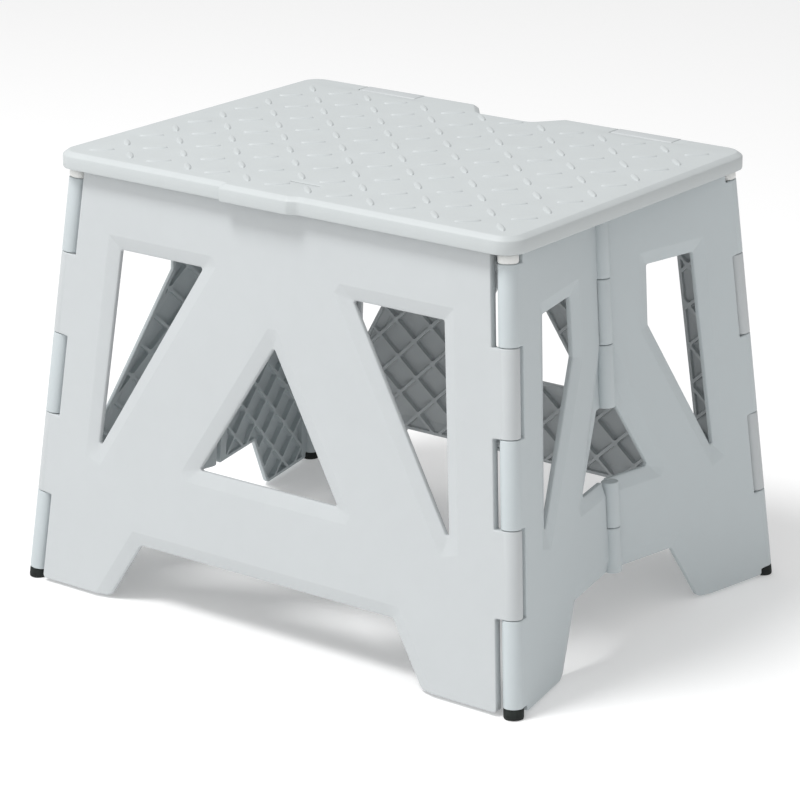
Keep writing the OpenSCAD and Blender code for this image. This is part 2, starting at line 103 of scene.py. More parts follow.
def fillet(points, radii, steps=5):
    """A closed outline with each corner rounded by its own radius."""
    out = []
    n = len(points)
    for i, (p, r) in enumerate(zip(points, radii)):
        p = np.array(p, float)
        a = np.array(points[i - 1], float) - p
        b = np.array(points[(i + 1) % n], float) - p
        la, lb = np.linalg.norm(a), np.linalg.norm(b)
        a, b = a / la, b / lb
        half = math.acos(max(-1, min(1, a @ b))) / 2
        if r <= 0 or half > math.radians(89.5):
            out.append(p)
            continue
        reach = min(r / math.tan(half), la * 0.49, lb * 0.49)
        r = reach * math.tan(half)
        bisector = (a + b) / np.linalg.norm(a + b)
        centre = p + bisector * r / math.sin(half)
        start, end = p + a * reach - centre, p + b * reach - centre
        angle = math.atan2(start[0] * end[1] - start[1] * end[0], start @ end)
        for k in range(steps + 1):
            t = angle * k / steps
            c, s = math.cos(t), math.sin(t)
            out.append(centre + np.array([c * start[0] - s * start[1], s * start[0] + c * start[1]]))
    return np.array(out)


def offset(loop, distance):
    """An anticlockwise outline moved outwards by a distance."""
    loop = np.array(loop, float)
    keep = np.linalg.norm(loop - np.roll(loop, 1, 0), axis=1) > 1e-6
    loop = loop[keep]
    d = np.roll(loop, -1, 0) - loop
    d /= np.linalg.norm(d, axis=1)[:, None]
    normal = np.stack([d[:, 1], -d[:, 0]], 1)
    before = np.roll(normal, 1, 0)
    mitre = normal + before
    scale = np.clip(1 / np.maximum((mitre * normal).sum(1), 0.2), 0, 3)
    return loop + mitre * (scale * distance)[:, None]


def inside(loop, points):
    """Which points lie inside a closed outline."""
    x, y = points[:, 0], points[:, 1]
    hit = np.zeros(len(points), bool)
    for (ax, ay), (bx, by) in zip(loop, np.roll(loop, -1, 0)):
        if ay == by:
            continue
        crosses = (ay > y) != (by > y)
        hit ^= crosses & (x < (bx - ax) * (y - ay) / (by - ay) + ax)
    return hit


def distance(loop, points, closed=True):
    """Distance of points from a closed or open line."""
    best = np.full(len(points), 1e9)
    ends = np.roll(loop, -1, 0) if closed else loop[1:]
    for a, b in zip(loop, ends):
        d = b - a
        length = d @ d
        if length < 1e-12:
            continue
        t = np.clip(((points - a) @ d) / length, 0, 1)
        best = np.minimum(best, np.linalg.norm(points - a - t[:, None] * d, axis=1))
    return best


def mirrored(points):
    return [(-x, y) for x, y in reversed(points)]


def ramp(value, start):
    return np.clip((value - start) / DRAFT, 0, 1)


def roundover(d, r):
    """How far a rounded edge lies under its face, at a distance from the edge."""
    t = np.clip(d, 0, r)
    return r - np.sqrt(np.maximum(r * r - (r - t) ** 2, 0))


CIRCLE = np.array([(math.cos(k * math.pi / 8), math.sin(k * math.pi / 8)) for k in range(16)])

# ---- Meshes ----------------------------------------------------------------------------------


class Shape:
    """Collects the vertices and faces of one piece, in millimetres."""

    def __init__(self):
        self.points, self.faces = [], []

    def add(self, points, faces, place=Matrix.Identity(4)):
        start = len(self.points)
        m = np.array(place)
        p = np.asarray(points, float) @ m[:3, :3].T + m[:3, 3]
        flip = np.linalg.det(m[:3, :3]) < 0
        self.points.extend(p.tolist())
        for f in faces:
            f = [start + i for i in f]
            self.faces.append(f[::-1] if flip else f)

    def make(self, name, material, body, replaced, slot, sharp=34):
        mesh = bpy.data.meshes.new(name)
        mesh.from_pydata([[c * MM for c in p] for p in self.points], [], self.faces)
        mesh.validate()
        mesh.shade_smooth()
        mesh.set_sharp_from_angle(angle=math.radians(sharp))
        piece = bpy.data.objects.new(name, mesh)
        bpy.context.scene.collection.objects.link(piece)
        mesh.materials.append(material)
        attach(piece, body)
        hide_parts(*replaced)
        return piece


def relief(shape, place, domain, lines, top, bottom):
    """A plate with a moulded face on both sides. domain says which points belong to it, lines are
    the (points, closed) lines along which its faces bend, top and bottom give its two heights."""
    points, edges = [], []
    for line, closed in lines:
        start = len(points)
        points.extend(Vector((float(x), float(y))) for x, y in line)
        n = len(line)
        edges.extend((start + i, start + (i + 1) % n) for i in range(n if closed else n - 1))
    found = delaunay_2d_cdt(points, edges, [], 0, 1e-4)
    flat = np.array([(p.x, p.y) for p in found[0]])
    tris = np.array([t for t in found[2]])
    a, b, c = flat[tris[:, 0]], flat[tris[:, 1]], flat[tris[:, 2]]
    area = (b[:, 0] - a[:, 0]) * (c[:, 1] - a[:, 1]) - (b[:, 1] - a[:, 1]) * (c[:, 0] - a[:, 0])
    tris[area < 0] = tris[area < 0][:, ::-1]
    tris = tris[domain((a + b + c) / 3) & (np.abs(area) > 1e-7)]
    used = np.unique(tris)
    index = np.full(len(flat), -1)
    index[used] = np.arange(len(used))
    tris, flat = index[tris], flat[used]
    high, low = top(flat), bottom(flat)
    low = np.minimum(low, high - 0.2)
    n = len(flat)
    solid = np.concatenate([np.column_stack([flat, high]), np.column_stack([flat, low])])
    faces = [tuple(t) for t in tris.tolist()] + [(n + t[2], n + t[1], n + t[0]) for t in tris.tolist()]
    edge = np.concatenate([tris[:, [0, 1]], tris[:, [1, 2]], tris[:, [2, 0]]])
    both = {(i, j) for i, j in edge.tolist()}
    faces += [(j, i, n + i, n + j) for i, j in both if (j, i) not in both]
    shape.add(solid, faces, place)


def turned(shape, place, profile, segments=48):
    """A solid of revolution about Z from a closed-ended (radius, height) profile."""
    points, faces = [], []
    n = len(profile)
    for k in range(segments):
        t = 2 * math.pi * k / segments
        points += [(r * math.cos(t), r * math.sin(t), z) for r, z in profile]
    for k in range(segments):
        m = (k + 1) % segments
        for i in range(n - 1):
            faces.append((k * n + i, m * n + i, m * n + i + 1, k * n + i + 1))
    faces.append([k * n for k in range(segments)][::-1])
    faces.append([k * n + n - 1 for k in range(segments)])
    shape.add(points, faces, place)


def rod_profile(r, low, high, edge=0.7, steps=4):
    """A straight barrel with rounded ends."""
    out = [(r - edge - 1.2, low)]
    for k in range(steps + 1):
        t = math.pi / 2 * k / steps
        out.append((r - edge + edge * math.sin(t), low + edge - edge * math.cos(t)))
    for k in range(steps + 1):
        t = math.pi / 2 * k / steps
        out.append((r - edge + edge * math.cos(t), high - edge + edge * math.sin(t)))
    return out + [(r - edge - 1.2, high)]


# ---- Places of the panels --------------------------------------------------------------------


def rotation(angle, axis):
    return Matrix.Rotation(angle, 4, axis)


LEAN = math.atan(SPLAY_Y / UNDER)
LONG_TILT = math.atan(SPLAY_X * math.cos(LEAN) / UNDER)
END_LEAN = math.atan((SPLAY_X * math.cos(CANT) - SPLAY_Y * math.sin(CANT)) / UNDER)
END_TILT = -math.atan((SPLAY_X * math.sin(CANT) + SPLAY_Y * math.cos(CANT)) * math.cos(END_LEAN) / UNDER)
MIDDLE_TILT = -math.atan(math.tan(CANT) * math.sin(END_LEAN))
MIDDLE_START = (corner.y - MIDDLE_OFFSET * math.sin(CANT) * math.cos(END_LEAN)) / math.cos(CANT)
HINGE_RATE = math.hypot(math.hypot(SPLAY_X, SPLAY_Y), UNDER) / UNDER

front_place = Matrix.Translation((0, -corner.y, 0)) @ rotation(math.pi / 2 - LEAN, "X")
back_place = rotation(math.pi, "Z") @ front_place
end_place = (Matrix.Translation((corner.x, -corner.y, 0)) @ rotation(math.pi / 2 + CANT, "Z")
             @ rotation(math.pi / 2 - END_LEAN, "X"))


def end_placed(sx, sy):
    return Matrix.Diagonal((sx, -sy, 1, 1)) @ end_place


def on_hinge(start, tilt, out=0.0):
    return Matrix.Translation((start, 0, out)) @ rotation(tilt, "Z") @ rotation(-math.pi / 2, "X")


def line_point(start, tilt, s, aside):
    """A point beside a hinge line that lies in a panel."""
    c, sn = math.cos(tilt), math.sin(tilt)
    return (start - sn * s + c * aside, c * s + sn * aside)


def line_at(start, tilt, v, aside):
    """The point at height v on a line beside a hinge line."""
    return (start - v * math.tan(tilt) + aside / math.cos(tilt), v)


# Heights at which one knuckle ends and the next starts, and whose knuckle is whose
KNUCKLE_TOP = FRAME_TOP - CAP_H
KNUCKLE_PITCH = (KNUCKLE_TOP - FOOT_H + TOP_CUT) / 5
LEVELS = [FOOT_H + k * KNUCKLE_PITCH for k in range(5)] + [KNUCKLE_TOP]
END_KNUCKLES = [(LEVELS[k], LEVELS[k + 1]) for k in (0, 2, 4)]
LONG_KNUCKLES = [(LEVELS[k], LEVELS[k + 1]) for k in (1, 3)]
MIDDLE_LEVELS = [ARCH, (ARCH + SILL) / 2, SILL, FRAME_TOP - MIDDLE_TOP - MIDDLE_SECOND - MIDDLE_THIRD,
                 FRAME_TOP - MIDDLE_TOP - MIDDLE_SECOND, FRAME_TOP - MIDDLE_TOP, FRAME_TOP]


def middle_at(z):
    return (z - MIDDLE_OFFSET * math.sin(END_LEAN)) / (math.cos(END_LEAN) * math.cos(MIDDLE_TILT))


RIB_RATE = math.hypot(1 / RIB_STEP_U, 1 / RIB_STEP_V)


def rib_distance(points, turn):
    """Distance from the nearest rib of one of the two directions."""
    s = (points[:, 0] / RIB_STEP_U + turn * (points[:, 1] - RIB_START_V) / RIB_STEP_V) / 2
    return np.abs(s - np.round(s)) * 2 / RIB_RATE


def crossing_distance(points):
    """Distance from the nearest crossing of two ribs."""
    i = points[:, 0] / RIB_STEP_U
    j = (points[:, 1] - RIB_START_V) / RIB_STEP_V
    best = np.full(len(points), 1e9)
    for shift in (0, 1):
        di = i - shift - 2 * np.round((i - shift) / 2)
        dj = j - shift - 2 * np.round((j - shift) / 2)
        best = np.minimum(best, np.hypot(di * RIB_STEP_U, dj * RIB_STEP_V))
    return best


def box_line(a, b, c, low, high):
    """The stretch of the line a*x + b*y = c inside a box, or nothing."""
    ends = []
    for x in (low[0], high[0]):
        y = (c - a * x) / b
        if low[1] <= y <= high[1]:
            ends.append((x, y))
    for y in (low[1], high[1]):
        x = (c - b * y) / a
        if low[0] < x < high[0]:
            ends.append((x, y))
    return [(np.array([ends[0], ends[-1]]), False)] if len(ends) >= 2 else []


def rib_edges(loop):
    """Lines along both sides of every rib that may cross an outline, and round its crossings."""
    out = []
    low, high = loop.min(0) - 1, loop.max(0) + 1
    count = int((np.abs(low).max() + np.abs(high).max()) / RIB_STEP_V)
    for turn in (1, -1):
        a, b = 1 / RIB_STEP_U, turn / RIB_STEP_V
        for k in range(-count, count + 1):
            for side in (-RIB / 2 - DRAFT, -RIB / 2, RIB / 2, RIB / 2 + DRAFT):
                out += box_line(a, b, 2 * k + side * RIB_RATE + b * RIB_START_V, low, high)
    for i in range(int(low[0] / RIB_STEP_U), int(high[0] / RIB_STEP_U) + 1):
        for j in range(int(low[1] / RIB_STEP_V), int(high[1] / RIB_STEP_V) + 2):
            centre = np.array([i * RIB_STEP_U, RIB_START_V + j * RIB_STEP_V])
            if (i + j) % 2 == 0 and inside(loop, centre[None])[0]:
                out += [(centre + r * CIRCLE, True) for r in (RIB_BOSS, RIB_BOSS + DRAFT)]
    return out


def creased(d, width, depth, crease):
    """How far a sloping border lies under its face, at a distance from the border's low side."""
    slope = depth / width
    straight = slope * (width - d)
    blended = slope * (width + crease - d) ** 2 / (4 * crease)
    return np.where(d < width - crease, straight, np.where(d < width + crease, blended, 0))


def bevel_corners(hole):
    """For each corner of an opening: the corner, the outward normal of the side that ends there, the
    slope of the facet that cuts the corner off, and the two directions in which the facet ends."""
    corners = np.array(hole[0], float)
    side = np.roll(corners, -1, 0) - corners
    side /= np.linalg.norm(side, axis=1)[:, None]
    normal = np.stack([side[:, 1], -side[:, 0]], 1)
    out = []
    for i, corner_point in enumerate(corners):
        before, after = normal[i - 1], normal[i]
        outward = (before + after) / np.linalg.norm(before + after)
        across = (before - after) / np.linalg.norm(before - after)
        sine = outward @ after
        reach = min(CORNER_CUT / BEVEL_W, 1 / sine)
        aside = (1 - reach * sine) / math.sqrt(1 - sine ** 2) * across
        out.append((corner_point, after, outward / reach, (reach * outward + aside, reach * outward - aside)))
    return out


def bevel_distance(hole, points):
    """Distance from an opening, measured square to its sides and to the facets at its corners."""
    best = np.full(len(points), -1e9)
    for corner_point, normal, facet, _ in bevel_corners(hole):
        best = np.maximum(best, np.maximum((points - corner_point) @ normal, (points - corner_point) @ facet))
    return best


def bevel_lines(hole):
    """The crease round the sloping border, and the ends of its facets."""
    corners = bevel_corners(hole)
    out = []
    for d in (BEVEL_W - CREASE, BEVEL_W - CREASE / 3, BEVEL_W + CREASE / 3, BEVEL_W + CREASE):
        out.append((np.array([c + d * way for c, _, _, ways in corners for way in ways]), True))
    for c, _, _, ways in corners:
        out += [(np.array([c, c + (BEVEL_W + CREASE) * way]), False) for way in ways]
    return out


def grown_hole(hole, d):
    """A line round an opening at a distance, with round corners."""
    corners, radius = hole
    shrunk = offset(np.array(corners, float), -radius)
    r = radius + d
    out = []
    n = len(shrunk)
    for i in range(n):
        a = shrunk[i] - shrunk[i - 1]
        b = shrunk[(i + 1) % n] - shrunk[i]
        start = math.atan2(-a[0], a[1])
        turn = (math.atan2(-b[0], b[1]) - start) % (2 * math.pi)
        for k in range(7):
            t = start + turn * k / 6
            out.append(shrunk[i] + r * np.array([math.cos(t), math.sin(t)]))
    return np.array(out)


def panel(shape, place, loop, holes, edges, bands):
    """A moulded panel. loop is its outline, holes its openings, edges the openings that are part of
    the outline, and bands the hinge lines beside which it is solid, each as (line, width)."""
    rims = [grown_hole(hole, 0) for hole in holes]
    borders = [grown_hole(hole, 0) for hole in edges]
    lines = [(loop, True)] + [(rim, True) for rim in rims]
    lines += [(offset(loop, -d), True) for d in ROUND_LINES + (EDGE_WALL, EDGE_WALL + DRAFT)]
    for hole in holes + edges:
        lines += [(grown_hole(hole, d), True) for d in ROUND_LINES + (OPENING_WALL, OPENING_WALL + DRAFT)]
        lines += bevel_lines(hole)
    lines += [(np.array(line) + np.array([width + d, 0]), False)
              for line, width in bands for d in (0, math.copysign(DRAFT, width))]
    lines += rib_edges(loop)

    def domain(p):
        ok = inside(loop, p)
        for rim in rims:
            ok &= ~inside(rim, p)
        return ok

    def gap(p, rim):
        return np.where(inside(rim, p), 0, distance(rim, p))

    def border_drop(p):
        drop = np.zeros(len(p))
        for hole in holes + edges:
            drop = np.maximum(drop, creased(np.maximum(bevel_distance(hole, p), 0), BEVEL_W, BEVEL_D, CREASE))
        return drop

    def top(p):
        edge = roundover(distance(loop, p), EDGE_ROUND)
        for rim in rims:
            edge = np.maximum(edge, roundover(gap(p, rim), EDGE_ROUND))
        return FACE_OUT - border_drop(p) - edge

    def bottom(p):
        edge = distance(loop, p)
        depth = ramp(edge, EDGE_WALL)
        lift = roundover(edge, INNER_ROUND)
        for rim in rims + borders:
            depth = np.minimum(depth, ramp(gap(p, rim), OPENING_WALL))
        for rim in rims:
            lift = np.maximum(lift, roundover(gap(p, rim), INNER_ROUND))
        for turn in (1, -1):
            depth = np.minimum(depth, ramp(rib_distance(p, turn), RIB / 2))
        depth = np.minimum(depth, ramp(crossing_distance(p), RIB_BOSS))
        for line, width in bands:
            (u0, v0), (u1, v1) = line
            u = u0 + (p[:, 1] - v0) * (u1 - u0) / (v1 - v0)
            depth = np.minimum(depth, ramp((p[:, 0] - u) * math.copysign(1, width), abs(width)))
        return FACE_IN + lift + depth * np.maximum(THICK - SKIN - border_drop(p), 0.1)

    relief(shape, place, domain, lines, top, bottom)


# ---- Front and back panels -------------------------------------------------------------------

lean_cos = math.cos(LEAN)
long_low = (FLOOR_GAP + 0.05) / lean_cos
long_high = (FRAME_TOP - FACE_OUT * math.sin(LEAN)) / lean_cos
long_sill, long_head, long_arch = SILL / lean_cos, (UNDER - TOP_RAIL) / lean_cos, ARCH / lean_cos


def long_edge(v):
    return corner.x - v * math.tan(LONG_TILT)


def stepped_side(start, tilt, sign, low, high, own, gap):
    """The edge of a panel along a hinge line, upwards, with room for the other panel's knuckles."""
    points = [line_at(start, tilt, low, sign * -gap)]
    for z0, z1 in own:
        s0, s1 = z0 * HINGE_RATE + KNUCKLE_GAP / 2, z1 * HINGE_RATE - KNUCKLE_GAP / 2
        points += [line_point(start, tilt, s0, sign * -gap), line_point(start, tilt, s0, 0),
                   line_point(start, tilt, s1, 0), line_point(start, tilt, s1, sign * -gap)]
    return points + [line_at(start, tilt, high, sign * -gap)]


def long_panel(shape, place):
    right = stepped_side(corner.x, LONG_TILT, 1, long_low, long_high, LONG_KNUCKLES, BARREL_R + WIDE_GAP)
    side = CORNER_MARGIN / math.cos(LONG_TILT)
    inner = long_edge(long_sill) - side
    triangle = [(inner, long_sill), (long_edge(long_head) - side, long_head),
                (inner - (long_head - long_sill) / BRACE, long_head)]
    half = inner - LONG_BRACE * math.sqrt(1 + BRACE ** 2) / BRACE
    centre = [(-half, long_sill), (half, long_sill), (0, long_sill + half * BRACE)]
    arch_half = long_edge(long_low) - LONG_FOOT - (long_arch - long_low) / BRACE
    foot_half = arch_half + (long_arch - long_low) / BRACE
    wide = arch_half + 2 * long_arch / BRACE
    arch = ([(-wide, -long_arch), (wide, -long_arch), (arch_half, long_arch), (-arch_half, long_arch)],
            ARCH_BORDER)
    points = [(foot_half, long_low)] + right
    radii = [FOOT_CORNER, 2.5] + [0.8] * (len(right) - 2) + [1.2]
    points += mirrored(points) + [(-arch_half, long_arch), (arch_half, long_arch)]
    radii += radii[::-1] + [ARCH_CORNER, ARCH_CORNER]
    loop = fillet(points, radii)
    axis = [(corner.x, 0.0), (corner.x - LINE * math.tan(LONG_TILT), LINE)]
    left = [(-x, y) for x, y in axis]
    bands = [(axis, -CORNER_MARGIN / SOLID_SHARE), (left, CORNER_MARGIN / SOLID_SHARE)]
    holes = [(hole, OPENING_CORNER) for hole in (triangle, mirrored(triangle), centre)]
    panel(shape, place, loop, holes, [arch], bands)
    for sign in (1, -1):
        line = place @ on_hinge(sign * corner.x, sign * LONG_TILT)
        for z0, z1 in LONG_KNUCKLES:
            turned(shape, line, rod_profile(BARREL_R, z0 * HINGE_RATE + KNUCKLE_GAP / 2,
                                            z1 * HINGE_RATE - KNUCKLE_GAP / 2))


def prism(shape, place, loop, low, high, edge=0.5):
    """An extruded outline with its two ends rounded over."""
    rings = [(offset(loop, -edge), low), (offset(loop, -edge * 0.3), low + edge * 0.3), (loop, low + edge),
             (loop, high - edge), (offset(loop, -edge * 0.3), high - edge * 0.3), (offset(loop, -edge), high)]
    n = len(rings[0][0])
    points = [(x, y, z) for ring, z in rings for x, y in ring]
    faces = [[(k + 1) * n + (i + 1) % n, (k + 1) * n + i, k * n + i, k * n + (i + 1) % n]
             for k in range(len(rings) - 1) for i in range(n)]
    faces.append(list(range(n))[::-1])
    faces.append([(len(rings) - 1) * n + i for i in range(n)])
    shape.add(points, faces, place)


LUG_PLACE, LUG_LENGTH, LUG_REACH, LUG_R = 103.0, 47.0, 11.0, 3.5
LUG_ROOT = 5.0                           # how far the lugs reach down into the top rail


def tread_lug(shape, middle):
    """A hinge lug of the back panel, drawn in the YZ plane and extruded along X."""
    y, z = TREAD_HINGE.y, TREAD_HINGE.z
    top_y = corner.y - SPLAY_Y
    back = [(y + LUG_R * math.cos(t), z + LUG_R * math.sin(t))
            for t in np.linspace(-math.pi / 2, math.pi / 2, 13)]
    body = [(top_y + 1.5, UNDER - LUG_ROOT), (top_y + FACE_OUT - 0.3, UNDER - LUG_ROOT),
            (top_y + FACE_OUT, UNDER)]
    front = [(y - LUG_REACH + 0.8, STAND), (y - LUG_REACH, STAND - 0.8), (y - LUG_REACH, STAND - LUG_R),
             (top_y + 1.5, UNDER + LUG_R)]
    loop = np.array(body + back + front)
    place = Matrix(((0, 0, 1, 0), (1, 0, 0, 0), (0, 1, 0, 0), (0, 0, 0, 1)))
    prism(shape, place, loop, middle - LUG_LENGTH / 2, middle + LUG_LENGTH / 2)


# ---- End panel halves ------------------------------------------------------------------------

end_cos = math.cos(END_LEAN)
end_low = (FLOOR_GAP + 0.05) / end_cos
end_high = (FRAME_TOP - FACE_OUT * math.sin(END_LEAN)) / end_cos
end_sill, end_head, end_arch = SILL / end_cos, (UNDER - TOP_RAIL) / end_cos, ARCH / end_cos


def corner_edge(v):
    return -v * math.tan(END_TILT)


def middle_edge(v):
    return MIDDLE_START - v * math.tan(MIDDLE_TILT)


def end_half(shape, place, front):
    own = [0, 3, 5] if front else [1, 4]
    knuckles = [(MIDDLE_LEVELS[k], MIDDLE_LEVELS[k + 1]) for k in own]
    left = stepped_side(0.0, END_TILT, -1, end_low, end_high, END_KNUCKLES, BARREL_R + NARROW_GAP)
    inner = corner_edge(end_sill) + END_MARGIN / math.cos(END_TILT)
    middle = middle_edge(end_head) - MIDDLE_MARGIN
    upper = [(inner, end_sill), (middle, end_sill + (middle - inner) * BRACE), (middle, end_head),
             (inner + corner_edge(end_head) - corner_edge(end_sill), end_head)]
    level = (MIDDLE_LEVELS[3] - MIDDLE_OFFSET * math.sin(END_LEAN)) / end_cos
    start = inner + END_BRACE * math.sqrt(1 + BRACE ** 2) / BRACE
    past = MIDDLE_START + LINE / 5
    centre_bevel = [(start, end_sill), (past, end_sill), (past, level + (past - start) * BRACE)]
    arch_side = corner_edge(end_low) + END_FOOT + (end_arch - end_low) / BRACE
    arch = ([(arch_side - 2 * end_arch / BRACE, -end_arch), (past, -end_arch), (past, end_arch),
             (arch_side, end_arch)], ARCH_BORDER)
    notch = MIDDLE_R + NARROW_GAP
    # Down the middle edge: level with the axis at its own knuckles, set back at the other half's
    steps = []
    for k in (5, 4, 3):
        aside = -KNUCKLE_GAP if k in own else -notch
        z1, z0 = MIDDLE_LEVELS[k + 1], MIDDLE_LEVELS[k]
        v1 = end_high if k == 5 else middle_at(z1) * math.cos(MIDDLE_TILT)
        v0 = middle_at(z0) * math.cos(MIDDLE_TILT)
        steps += [line_at(MIDDLE_START, MIDDLE_TILT, v, aside) for v in (v1, v0)]
    last = steps[-1]
    steps.append((start + (last[1] - end_sill) / BRACE, last[1]))
    steps.append((start, end_sill))
    for k in (1, 0):
        aside = -KNUCKLE_GAP if k in own else -notch
        v1 = end_sill if k == 1 else middle_at(MIDDLE_LEVELS[1]) * math.cos(MIDDLE_TILT)
        v0 = end_arch if k == 0 else middle_at(MIDDLE_LEVELS[1]) * math.cos(MIDDLE_TILT)
        steps += [line_at(MIDDLE_START, MIDDLE_TILT, v, aside) for v in (v1, v0)]
    steps.append((arch_side, end_arch))
    foot = (corner_edge(end_low) + END_FOOT, end_low)
    # Anticlockwise: foot, up the middle, along the top, down the corner
    points = [foot] + steps[::-1] + left[::-1]
    radii = [FOOT_CORNER, ARCH_CORNER] + [0.6] * (len(steps) - 1) + [1.2] + [0.8] * (len(left) - 2) + [2.5]
    radii[points.index((start, end_sill))] = ARCH_BORDER
    loop = fillet(points, radii)
    axis = [(0.0, 0.0), (-LINE * math.tan(END_TILT), LINE)]
    hinge = [(MIDDLE_START, 0.0), (MIDDLE_START - LINE * math.tan(MIDDLE_TILT), LINE)]
    bands = [(axis, END_MARGIN / SOLID_SHARE), (hinge, -MIDDLE_MARGIN / SOLID_SHARE)]
    panel(shape, place, loop, [(upper, OPENING_CORNER)], [(centre_bevel, ARCH_BORDER), arch], bands)
    line = place @ on_hinge(0, END_TILT)
    for z0, z1 in END_KNUCKLES:
        s0 = z0 * HINGE_RATE + (KNUCKLE_GAP / 2 if z0 > FOOT_H else 0)
        turned(shape, line, rod_profile(BARREL_R, s0, z1 * HINGE_RATE - KNUCKLE_GAP / 2))
    line = place @ on_hinge(MIDDLE_START, MIDDLE_TILT, MIDDLE_OFFSET)
    for z0, z1 in knuckles:
        turned(shape, line, rod_profile(MIDDLE_R, middle_at(z0) + KNUCKLE_GAP / 2,
                                        middle_at(z1) - KNUCKLE_GAP / 2))


# ---- Tread -----------------------------------------------------------------------------------

TREAD_CORNER = 15.0
CHAMFER_W, CHAMFER_D, CHAMFER_CREASE, CHAMFER_ROUND = 3.6, 2.6, 0.5, 0.8
NOTCH_DEPTH, NOTCH_HALF, NOTCH_SLOPE = 19.5, 20.5, 15.0
TAB_LEFT, TAB_RIGHT, TAB_TAPER, TAB_REACH = -39.0, 14.0, 7.0, 3.3
SLIT, SLIT_WALL = (3.5, -105.0, 23.0, 1.6), 3.0
TREAD_RIB, TREAD_RIB_PITCH, TREAD_RIM, TREAD_SKIN, HINGE_BAND = 2.0, 42.0, 3.5, 3.0, 24.0
BAR_PITCH_X, BAR_PITCH_Y = 23.85, 24.25
BAR_X0, BAR_Y0 = 2.0, 5.1
BAR_LENGTH, BAR_WIDTH, BAR_HEIGHT, BAR_TAPER = 16.5, 4.5, 0.85, 1.9
BAR_RINGS = [(1.0, -0.15), (0.86, 0.35), (0.62, 0.8), (0.3, 1.0)]  # share of the width, of the height
BAR_SEGMENTS = 28
BAR_TO_EDGE, BAR_TO_HOLE = 9, 5          # no bar's centre is nearer than these


def tread_bar(shape, x, y, turn, height):
    """One raised bar: a long lens with a soft crown."""
    points, faces = [], []
    n = BAR_SEGMENTS
    c, s = math.cos(turn), math.sin(turn)
    for scale, lift in BAR_RINGS:
        half = BAR_LENGTH / 2 - (1 - scale) * BAR_TAPER
        for k in range(n):
            t = 2 * math.pi * k / n
            a = math.copysign(abs(math.cos(t)) ** 0.75, math.cos(t)) * half
            b = math.sin(t) * BAR_WIDTH / 2 * scale
            points.append((x + c * a - s * b, y + s * a + c * b, height + lift * BAR_HEIGHT))
    for r in range(len(BAR_RINGS) - 1):
        for k in range(n):
            m = (k + 1) % n
            faces.append((r * n + k, r * n + m, (r + 1) * n + m, (r + 1) * n + k))
    faces.append([(len(BAR_RINGS) - 1) * n + k for k in range(n)])
    shape.add(points, faces)


def tread_edge_drop(d):
    """How far the chamfered edge of the tread lies under its top, at a distance from the edge."""
    return creased(d, CHAMFER_W, CHAMFER_D, CHAMFER_CREASE) + roundover(d, CHAMFER_ROUND) * 0.6


